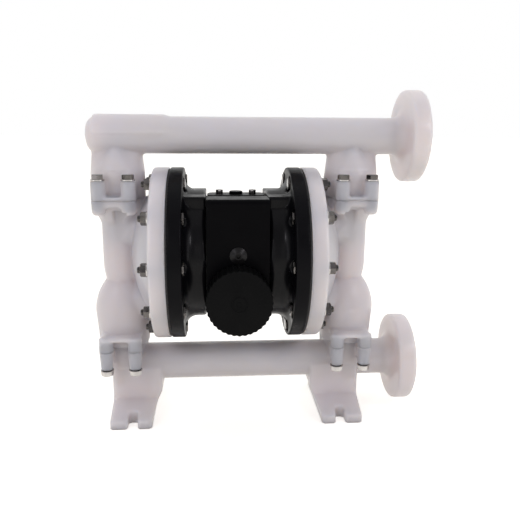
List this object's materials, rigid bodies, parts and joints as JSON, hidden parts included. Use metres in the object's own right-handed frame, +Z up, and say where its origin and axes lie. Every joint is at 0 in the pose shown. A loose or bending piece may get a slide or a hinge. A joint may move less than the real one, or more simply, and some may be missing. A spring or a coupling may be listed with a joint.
{
  "type": "air operated diaphragm pump",
  "caption": "Air operated double diaphragm pump with flanged liquid manifolds, domed liquid chambers, ball valves, a centre air block with a muffler, and two slotted feet.",
  "frame": {"origin": "on the floor, in the middle of the four anchor slots of the feet", "axes": "+X along the shaft, towards the faces of both flanges; +Y towards the air inlet, away from the muffler; +Z up"},
  "size_m": [0.3933, 0.2179, 0.3985],
  "materials": {
    "white_plastic": "milky natural polypropylene, moulded, satin",
    "black_plastic": "black moulded plastic, satin",
    "stainless": "stainless fasteners",
    "brass": "turned",
    "rubber": "moulded rubber",
    "ball": "turned white ball",
    "seat_plastic": "turned plastic",
    "polished_steel": "ground and polished",
    "aluminium": "turned",
    "felt": "pressed porous ring"
  },
  "bodies": {
    "housing": {"air_chamber_gasket_left": "rubber", "air_chamber_gasket_right": "rubber", "air_chamber_left": "black_plastic", "air_chamber_right": "black_plastic", "air_chamber_screws": "stainless", "air_valve_body": "black_plastic", "air_valve_end_cap_left": "black_plastic", "air_valve_end_cap_right": "black_plastic", "air_valve_gasket": "rubber", "air_valve_screws": "stainless", "air_valve_sleeve": "brass", "centre_block": "black_plastic", "chamber_bolts_left": "stainless", "chamber_bolts_right": "stainless", "chamber_nuts_left": "stainless", "chamber_nuts_right": "stainless", "chamber_washers_left": "stainless", "chamber_washers_right": "stainless", "diaphragm_left": "rubber", "diaphragm_right": "rubber", "discharge_joint_bolts": "stainless", "discharge_joint_inserts": "brass", "discharge_joint_washers": "stainless", "discharge_manifold": "white_plastic", "discharge_seat_left": "seat_plastic", "discharge_seat_right": "seat_plastic", "discharge_seat_rings": "rubber", "end_cap_screws": "stainless", "fluid_chamber_left": "white_plastic", "fluid_chamber_right": "white_plastic", "front_plug": "black_plastic", "muffler_body": "black_plastic", "muffler_cap": "black_plastic", "muffler_element": "felt", "pilot_bushes": "brass", "shaft_bushes": "seat_plastic", "shaft_seals": "rubber", "suction_joint_bolts": "stainless", "suction_joint_inserts": "brass", "suction_manifold": "white_plastic", "suction_seat_left": "seat_plastic", "suction_seat_right": "seat_plastic", "suction_seat_rings": "rubber", "top_cover": "black_plastic", "top_cover_gasket": "rubber", "top_cover_plug": "black_plastic", "top_cover_screws": "stainless"},
    "shaft_assembly": {"connecting_rod": "polished_steel", "inner_plate_left": "aluminium", "inner_plate_right": "aluminium", "outer_plate_left": "aluminium", "outer_plate_right": "aluminium"},
    "pilot_rod": {"pilot_rod": "polished_steel"},
    "valve_spool": {"valve_spool": "aluminium"},
    "discharge_ball_left": {"discharge_ball_left": "ball"},
    "discharge_ball_right": {"discharge_ball_right": "ball"},
    "suction_ball_left": {"suction_ball_left": "ball"},
    "suction_ball_right": {"suction_ball_right": "ball"}
  },
  "joints": [
    {"name": "shaft_stroke", "type": "slide", "parent": "housing", "child": "shaft_assembly", "axis": [1, 0, 0], "range_m": [-0.01, 0.01], "deforming": ["diaphragm_left", "diaphragm_right"]},
    {"name": "pilot_shift", "type": "slide", "parent": "housing", "child": "pilot_rod", "axis": [1, 0, 0], "range_m": [-0.004, 0.004]},
    {"name": "spool_shift", "type": "slide", "parent": "housing", "child": "valve_spool", "axis": [1, 0, 0], "range_m": [0, 0.012]},
    {"name": "discharge_ball_left_lift", "type": "slide", "parent": "housing", "child": "discharge_ball_left", "axis": [0, 0, 1], "range_m": [0, 0.008]},
    {"name": "discharge_ball_right_lift", "type": "slide", "parent": "housing", "child": "discharge_ball_right", "axis": [0, 0, 1], "range_m": [0, 0.008]},
    {"name": "suction_ball_left_lift", "type": "slide", "parent": "housing", "child": "suction_ball_left", "axis": [0, 0, 1], "range_m": [0, 0.008]},
    {"name": "suction_ball_right_lift", "type": "slide", "parent": "housing", "child": "suction_ball_right", "axis": [0, 0, 1], "range_m": [0, 0.008]}
  ],
  "couplings": [
    {"joint": "pilot_shift", "follows": "shaft_stroke", "ratio": 0.4}
  ]
}
